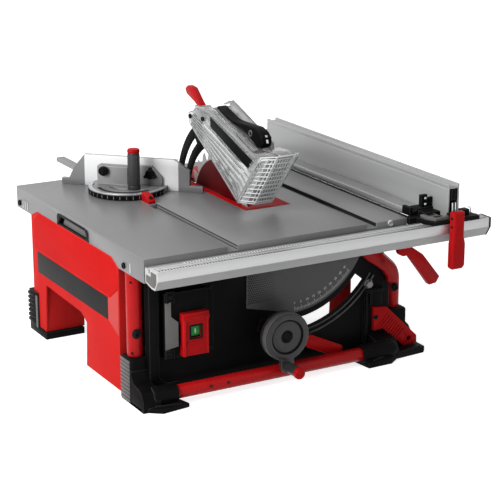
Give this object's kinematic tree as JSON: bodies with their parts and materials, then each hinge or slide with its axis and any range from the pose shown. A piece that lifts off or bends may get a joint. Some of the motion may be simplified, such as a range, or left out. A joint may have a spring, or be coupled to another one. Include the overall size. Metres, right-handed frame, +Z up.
{
  "type": "table saw",
  "caption": "Portable table saw with a grey table on a red body, tilting and lifting blade, clear guard, riving knife, sliding rip fence, miter gauge, handwheel and push stick.",
  "frame": {"origin": "middle of the bounding box at floor level, under the feet", "axes": "+X to the operator's right along the front rail, +Y from the operator to the back, +Z up"},
  "size_m": [0.739, 0.876, 0.5058],
  "materials": {
    "red_paint": "satin red paint",
    "red_plastic": "red moulded plastic",
    "black_plastic": "black moulded plastic",
    "grey_table": "grey cast table top",
    "silver_profile": "brushed extruded profile",
    "steel": "bare machined steel",
    "dark_steel": "black coated steel",
    "cast_metal": "rough die casting",
    "motor_case": "black motor case",
    "blade_coat": "dark red coated blade body",
    "green_plastic": "green push button",
    "clear_plastic": "clear moulded guard"
  },
  "bodies": {
    "base": {"table_top": "grey_table", "table_insert": "red_plastic", "grip_cup": "black_plastic", "left_side_panel": "red_paint", "right_side_panel": "red_paint", "front_panel": "black_plastic", "bevel_scale_plate": "cast_metal", "left_upright_tube": "red_paint", "right_upright_tube": "red_paint", "front_cross_tube": "red_paint", "foot_front_left": "black_plastic", "foot_front_right": "black_plastic", "foot_rear_left": "black_plastic", "foot_rear_right": "black_plastic", "trunnion_front": "cast_metal", "trunnion_rear": "cast_metal", "switch_housing": "black_plastic", "rail_guide_front": "cast_metal", "rail_guide_rear": "cast_metal"},
    "rails": {"front_rail": "silver_profile", "rear_rail": "silver_profile", "rail_cross_bar": "dark_steel"},
    "rail_lever": {"rail_lock_lever": "red_plastic"},
    "fence": {"fence_profile": "silver_profile", "fence_head": "black_plastic", "fence_rear_hook": "black_plastic"},
    "fence_clamp": {"fence_lever": "red_plastic"},
    "support": {"work_support": "silver_profile"},
    "miter_runner": {"miter_bar": "steel"},
    "miter_protractor": {"miter_head": "black_plastic", "miter_fence": "silver_profile"},
    "miter_knob": {"miter_handle": "black_plastic"},
    "cradle": {"tilt_cradle": "cast_metal", "guide_rod_front": "steel", "guide_rod_rear": "steel"},
    "screw": {"lift_screw": "steel"},
    "wheel": {"handwheel": "black_plastic", "wheel_shaft": "steel"},
    "grip": {"crank_grip": "black_plastic"},
    "bevel_lock": {"bevel_lock_lever": "red_plastic"},
    "carriage": {"lift_carriage": "cast_metal", "gearbox_housing": "cast_metal", "motor": "motor_case", "knife_clamp": "cast_metal", "riving_knife": "dark_steel", "blade_shroud": "black_plastic"},
    "arbor": {"arbor_shaft": "steel", "saw_blade": "blade_coat", "outer_flange": "steel", "arbor_nut": "steel"},
    "guard_pin": {"guard_pivot_pin": "steel"},
    "guard_ring": {"guard_sleeve": "black_plastic"},
    "guard": {"guard_left_shell": "clear_plastic", "guard_right_shell": "clear_plastic", "guard_spine": "black_plastic", "guard_arm": "black_plastic"},
    "guard_catch": {"guard_lever": "red_plastic"},
    "flap": {"switch_flap": "red_plastic"},
    "button": {"start_button": "green_plastic"},
    "stick": {"push_stick": "red_plastic"}
  },
  "joints": [
    {"name": "bevel_tilt", "type": "hinge", "parent": "base", "child": "cradle", "pos_m": [-0.0185, -0.2144, 0.298], "axis": [0, -1, 0], "range_deg": [0, 45]},
    {"name": "handwheel_turn", "type": "hinge", "parent": "cradle", "child": "wheel", "pos_m": [-0.06589, -0.373, 0.10061], "axis": [0, -1, 0], "range_deg": [-5402, 2]},
    {"name": "lift_slide", "type": "slide", "parent": "cradle", "child": "carriage", "axis": [0, 0, 1], "range_m": [-0.09, 0]},
    {"name": "screw_turn", "type": "hinge", "parent": "cradle", "child": "screw", "pos_m": [-0.06589, -0.167, 0.148], "axis": [0, 0, 1], "range_deg": [-2, 5402]},
    {"name": "blade_spin", "type": "hinge", "parent": "carriage", "child": "arbor", "pos_m": [-0.0185, -0.012, 0.26], "axis": [1, 0, 0], "continuous": true},
    {"name": "crank_spin", "type": "hinge", "parent": "wheel", "child": "grip", "pos_m": [-0.06589, -0.373, 0.04161], "axis": [0, 1, 0], "continuous": true},
    {"name": "bevel_lock_swing", "type": "hinge", "parent": "cradle", "child": "bevel_lock", "pos_m": [-0.06589, -0.326, 0.10061], "axis": [0, -1, 0], "range_deg": [0, 35]},
    {"name": "guard_lift_link", "type": "hinge", "parent": "carriage", "child": "guard_pin", "pos_m": [-0.0185, 0.027, 0.448], "axis": [-1, 0, 0], "range_deg": [-0.5, 22]},
    {"name": "guard_bevel_link", "type": "hinge", "parent": "guard_pin", "child": "guard_ring", "pos_m": [-0.0185, 0.027, 0.448], "axis": [-1, 0, 0], "range_deg": [-0.5, 10.5]},
    {"name": "guard_swing", "type": "hinge", "parent": "guard_ring", "child": "guard", "pos_m": [-0.0185, 0.027, 0.448], "axis": [-1, 0, 0], "range_deg": [0, 30]},
    {"name": "guard_catch_swing", "type": "hinge", "parent": "guard", "child": "guard_catch", "pos_m": [-0.0295, 0.035, 0.4698], "axis": [1, 0, 0], "range_deg": [0, 60]},
    {"name": "rail_extend", "type": "slide", "parent": "base", "child": "rails", "axis": [1, 0, 0], "range_m": [0, 0.12]},
    {"name": "rail_lever_swing", "type": "hinge", "parent": "base", "child": "rail_lever", "pos_m": [0.1875, -0.382, 0.2407], "axis": [0, 1, 0], "range_deg": [0, 40]},
    {"name": "fence_slide", "type": "slide", "parent": "rails", "child": "fence", "axis": [1, 0, 0], "range_m": [-0.18, 0.015]},
    {"name": "fence_lever_swing", "type": "hinge", "parent": "fence", "child": "fence_clamp", "pos_m": [0.2805, -0.4305, 0.3075], "axis": [-1, 0, 0], "range_deg": [0, 85]},
    {"name": "support_flip", "type": "hinge", "parent": "fence", "child": "support", "pos_m": [0.2695, -0.329, 0.3035], "axis": [0, 1, 0], "range_deg": [0, 80]},
    {"name": "miter_slide", "type": "slide", "parent": "base", "child": "miter_runner", "axis": [0, 1, 0], "range_m": [-0.33, 0.05]},
    {"name": "miter_turn", "type": "hinge", "parent": "miter_runner", "child": "miter_protractor", "pos_m": [-0.181, 0.086, 0.298], "axis": [0, 0, 1], "range_deg": [-15, 105]},
    {"name": "miter_knob_turn", "type": "hinge", "parent": "miter_runner", "child": "miter_knob", "pos_m": [-0.181, 0.053, 0.31], "axis": [0, 0, 1], "range_deg": [-180, 180]},
    {"name": "flap_swing", "type": "hinge", "parent": "base", "child": "flap", "pos_m": [-0.244, -0.3226, 0.17], "axis": [-1, 0, 0], "range_deg": [0, 70]},
    {"name": "start_press", "type": "slide", "parent": "base", "child": "button", "axis": [0, 1, 0], "range_m": [0, 0.0025], "stiffness_N_per_m": 600},
    {"name": "stick_pull", "type": "slide", "parent": "base", "child": "stick", "axis": [0, -1, 0], "range_m": [0, 0.08]}
  ],
  "couplings": [
    {"joint": "handwheel_turn", "follows": "lift_slide", "rad_per_m": 1047.2},
    {"joint": "screw_turn", "follows": "lift_slide", "rad_per_m": -1047.2},
    {"joint": "guard_lift_link", "follows": "lift_slide", "rad_per_m": -4.1694},
    {"joint": "guard_bevel_link", "follows": "bevel_tilt", "ratio": 0.22222}
  ]
}
